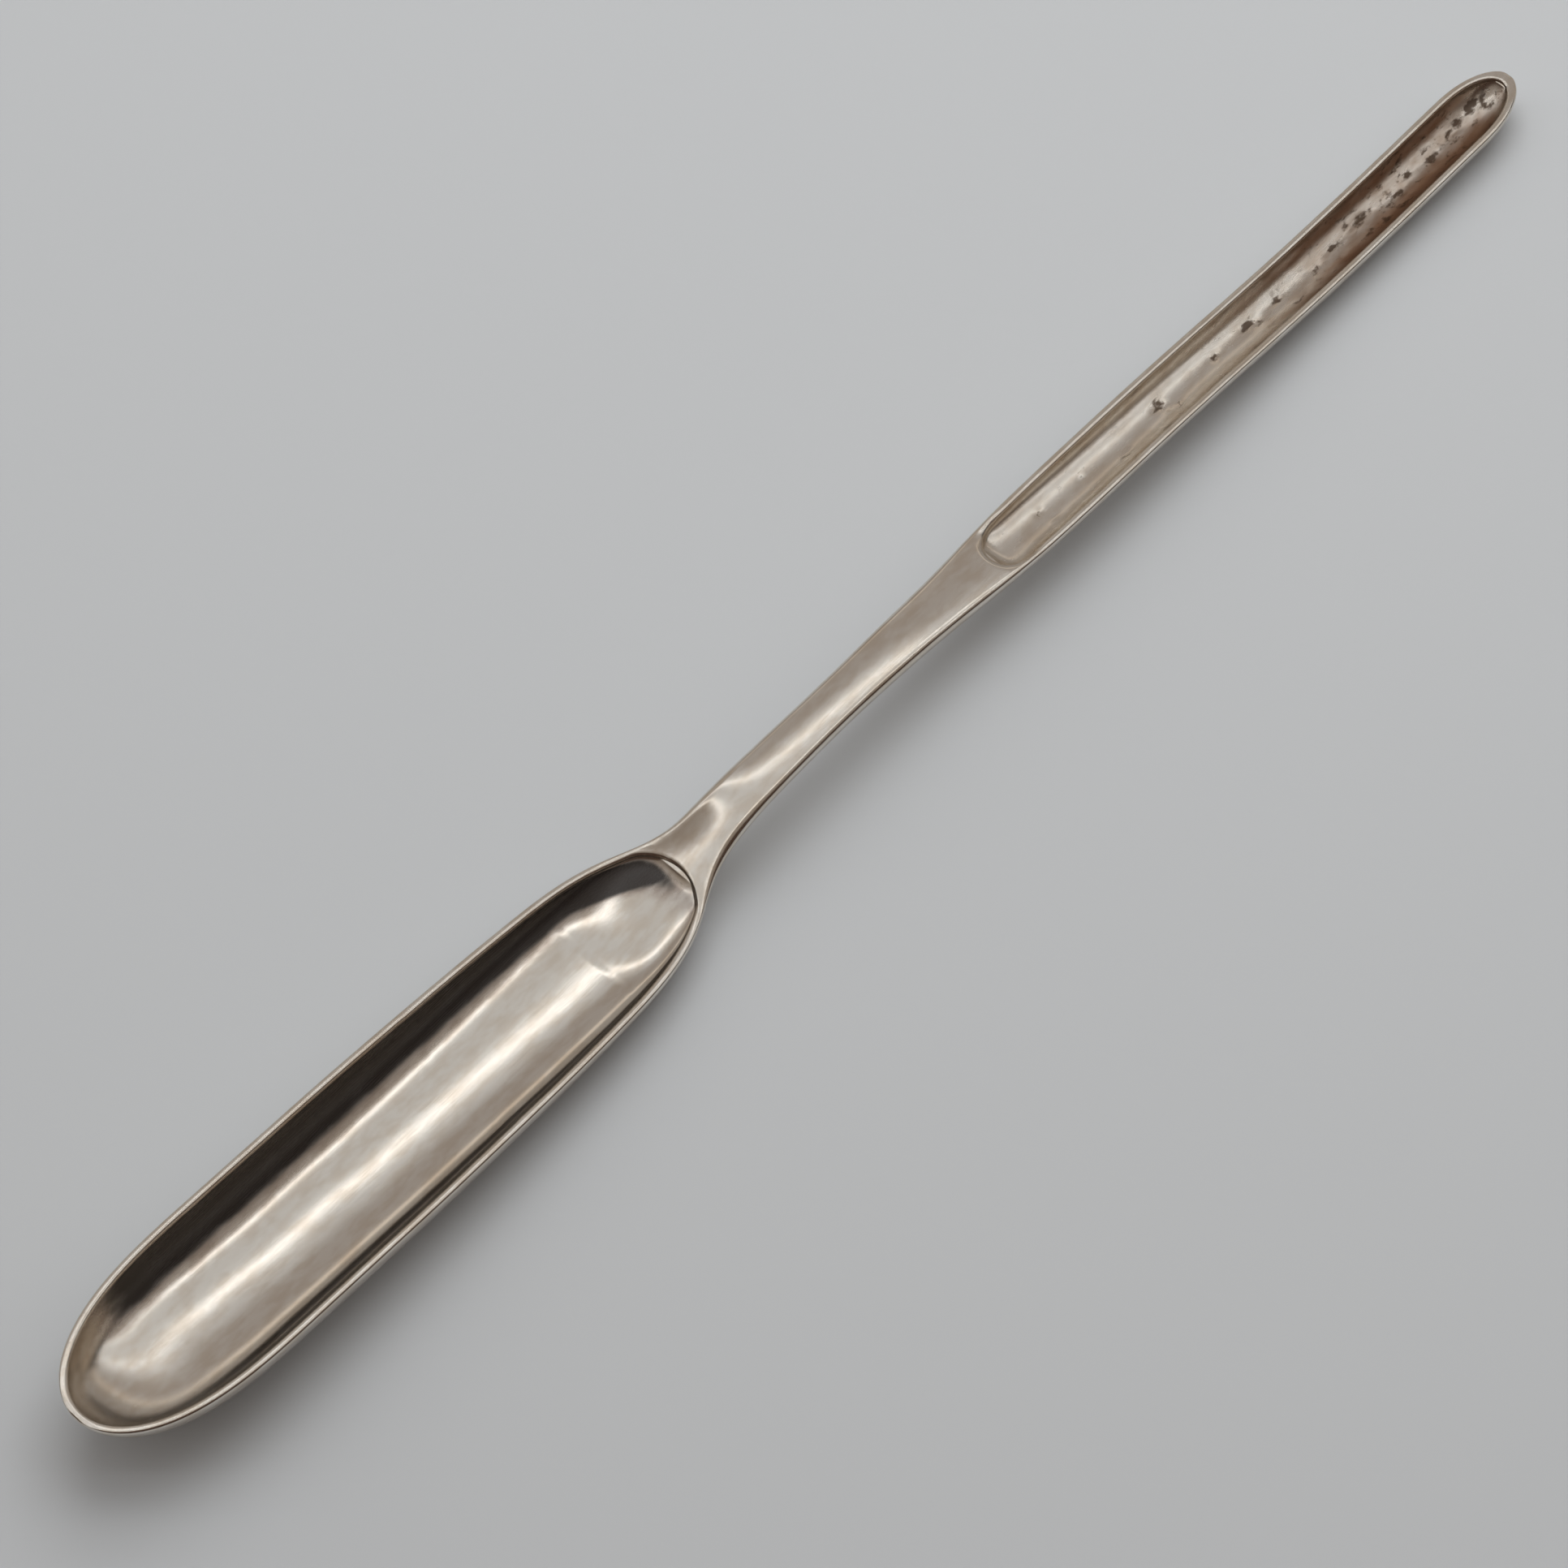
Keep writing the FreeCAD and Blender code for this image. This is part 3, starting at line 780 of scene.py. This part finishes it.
def bowl_painted_reflection_and_shade(x, share):
    """Painted darkening in the bowl: a painted dark reflection as a band high on the far wall,
    painted shade heavy at the neck, and a faint darkening near the other side's lip.
    """
    edge = 0.56 - 0.50 * smooth(x, 73, 86)
    thin = smooth(share, edge, edge + 0.14)
    thick = smooth(share, edge + 0.14, edge + 0.27)
    # The band is a painted dark reflection: the dark side of the room as the far wall would mirror
    # it
    band = (0.35 * thin + 0.65 * thick) * smooth(x, 5, 15)
    low_side = 0.05 * smooth(-share, 0.70, 0.95)
    # Painted shade in the recess at the neck end of the hollow
    neck = smooth(x, 79.5, 85.0) * (0.55 + 0.45 * smooth(share, -0.5, 0.3))
    return np.clip(band + low_side + neck, 0, 1)


def trough_tarnish(x, share):
    """Tarnish in the trough: along both walls, spreading over the floor to the end."""
    walls = 0.15 * smooth(np.abs(share), 0.45, 0.9)
    stain = 0.42 * smooth(x, 165, 200)
    low_side = 0.55 * smooth(-share, -0.3, 0.7) * smooth(x, 172, 205)
    return np.clip(walls + stain + low_side, 0, 0.95) * (1 - 0.5 * smooth(x, 218, 222))


def trough_pitting(x, y):
    """Wear of the trough: rough all over, rougher to the end, and deepest at its pits."""
    amount = 0.12 + 0.20 * smooth(x, 165, 215)
    return np.maximum(amount, pitted(x, y))


def mark_surface(piece, points, hollow):
    """Gives every point its shares of tarnish and painted shade, pitting and polish, read by the
    material.
    """
    x, y, z = points.T
    share = across_hollow(x, y)
    trough = in_trough(x)
    # In the bowl this share is painted dark reflection and painted shade; in the trough it is
    # tarnish
    tarnish_and_painted_shade = hollow * np.where(trough, trough_tarnish(x, share), bowl_painted_reflection_and_shade(x, share))
    pitting = hollow * np.where(trough, trough_pitting(x, y), 0.0)
    outside = 0.60 + 0.10 * smooth(x, 88, 94) * smooth(136 - x, 0, 8)
    inside = np.where(trough, 0.45, 0.95 - 0.5 * smooth(20 - x, 0, 14))
    polish = inside * hollow + outside * (1 - hollow)
    for name, values in (("tarnish_and_painted_shade", tarnish_and_painted_shade), ("pitting", pitting), ("polish", polish)):
        layer = piece.data.attributes.new(name, "FLOAT", "POINT")
        layer.data.foreach_set("value", values.astype(np.float32))


points, triangles, hollow = forging_mesh()
forging = make_piece("forging", points, triangles, silver_material())
mark_surface(forging, points, hollow)
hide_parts("bowl", "shank", "narrow_scoop", "heel_drop")

# ---- floor, light and camera ------------------------------------------------------------

floor_mesh = bpy.data.meshes.new("floor")
floor_mesh.from_pydata([(-8, -8, 0), (8, -8, 0), (8, 8, 0), (-8, 8, 0)], [], [(0, 1, 2, 3)])
floor_mesh.materials.append(floor_material())
floor = bpy.data.objects.new("floor", floor_mesh)
bpy.context.collection.objects.link(floor)

# The photograph's right and away directions, and the camera, in the object's frame
turn = math.radians(47.386)
photo_right = Vector((math.cos(turn), -math.sin(turn), 0))
photo_away = Vector((math.sin(turn), math.cos(turn), 0))
up = Vector((0, 0, 1))
aim = Vector((-(mid_length - 102.0785), 0.38954, 0)) * MM
elevation = math.radians(62)
camera_distance = 492.763 * MM
focal_pixels = 5688.4
frame_pixels = 1932

camera_data = bpy.data.cameras.new("camera")
camera_data.sensor_width = 36
camera_data.lens = focal_pixels / frame_pixels * camera_data.sensor_width
camera = bpy.data.objects.new("camera", camera_data)
back = -photo_away * math.cos(elevation) + up * math.sin(elevation)
camera.location = aim + back * camera_distance
camera.rotation_mode = "QUATERNION"
upright = up * math.cos(elevation) + photo_away * math.sin(elevation)
camera.rotation_quaternion = Matrix((photo_right, upright, back)).transposed().to_quaternion()
bpy.context.collection.objects.link(camera)
bpy.context.scene.camera = camera


ceiling_height = 1.0


def from_photo(right, away, height):
    """Place given as right, away and up in the photograph, in metres from where the camera aims."""
    return aim + photo_right * right + photo_away * away + up * height


def card(name, corners, colour, brightness):
    """Evenly glowing card between four places (right, away, up), facing any way."""
    mesh = bpy.data.meshes.new(name)
    mesh.from_pydata([from_photo(*place) for place in corners], [], [(0, 1, 2, 3)])
    material = bpy.data.materials.new(name)
    material.use_nodes = True
    tree = material.node_tree
    tree.nodes.clear()
    glow = node(tree, "ShaderNodeEmission", {"Color": hex_linear(colour), "Strength": brightness})
    node(tree, "ShaderNodeOutputMaterial", {"Surface": glow})
    mesh.materials.append(material)
    made = bpy.data.objects.new(name, mesh)
    bpy.context.collection.objects.link(made)


def overhead(name, near, far, reach, colour, brightness):
    """Card lying flat above the object, from near to far and reach to either side."""
    h = ceiling_height
    card(name, [(-reach, near, h), (reach, near, h), (reach, far, h), (-reach, far, h)],
         colour, brightness)


def upright_card(name, away, low, high, reach, colour, brightness):
    """Card standing across the view."""
    card(name, [(-reach, away, low), (reach, away, low),
                (reach, away, high), (-reach, away, high)], colour, brightness)


# What the metal mirrors: a pale ceiling with two long light tubes across the view, a
# window at the left, and the walls of the room
overhead("near_ceiling", -0.70, -0.08, 3.0, "#f6e8dc", 0.34)
overhead("near_tube", -0.08, -0.01, 3.0, "#ffffff", 2.2)
overhead("ceiling", -0.01, 0.365, 3.0, "#ffffff", 0.62)
overhead("far_tube", 0.37, 0.43, 3.0, "#ffffff", 2.5)
overhead("far_ceiling", 0.43, 0.60, 3.0, "#ffffff", 0.58)
card("left_window", [(-3, -0.4, 1), (-0.5, -0.4, 1), (-0.5, -0.1, 1), (-3, -0.1, 1)],
     "#ffffff", 0.6)
upright_card("far_wall", 3.0, 0.0, 1.86, 8.0, "#fff6ee", 0.34)
upright_card("far_sill", 3.0, 1.86, 2.25, 8.0, "#fff4e6", 0.95)
upright_card("upper_wall", 3.0, 2.25, 6.5, 8.0, "#fff6f0", 0.38)
card("near_wall", [(-8, -2.6, 0.3), (8, -2.6, 0.3), (8, -1.5, 2.4), (-8, -1.5, 2.4)],
     "#7c6458", 0.34)

# The lamp lights the floor and throws the soft shadow. Its own mirror image would be a
# hard square in the metal, so the metal mirrors only the cards.
lamp_data = bpy.data.lights.new("window", "AREA")
lamp_data.size = 0.5
lamp_data.energy = 1.45
lamp = bpy.data.objects.new("window", lamp_data)
lamp.location = from_photo(0.06, 0.28, 0.50)
lamp.rotation_mode = "QUATERNION"
lamp.rotation_quaternion = (lamp.location - aim).to_track_quat("Z", "Y")
lamp.visible_glossy = False
bpy.context.collection.objects.link(lamp)

world = bpy.data.worlds.new("room")
world.use_nodes = True
world.node_tree.nodes["Background"].inputs["Color"].default_value = hex_linear("#ffe6dc")
world.node_tree.nodes["Background"].inputs["Strength"].default_value = 0.04
bpy.context.scene.world = world
bpy.context.scene.view_settings.view_transform = "Standard"
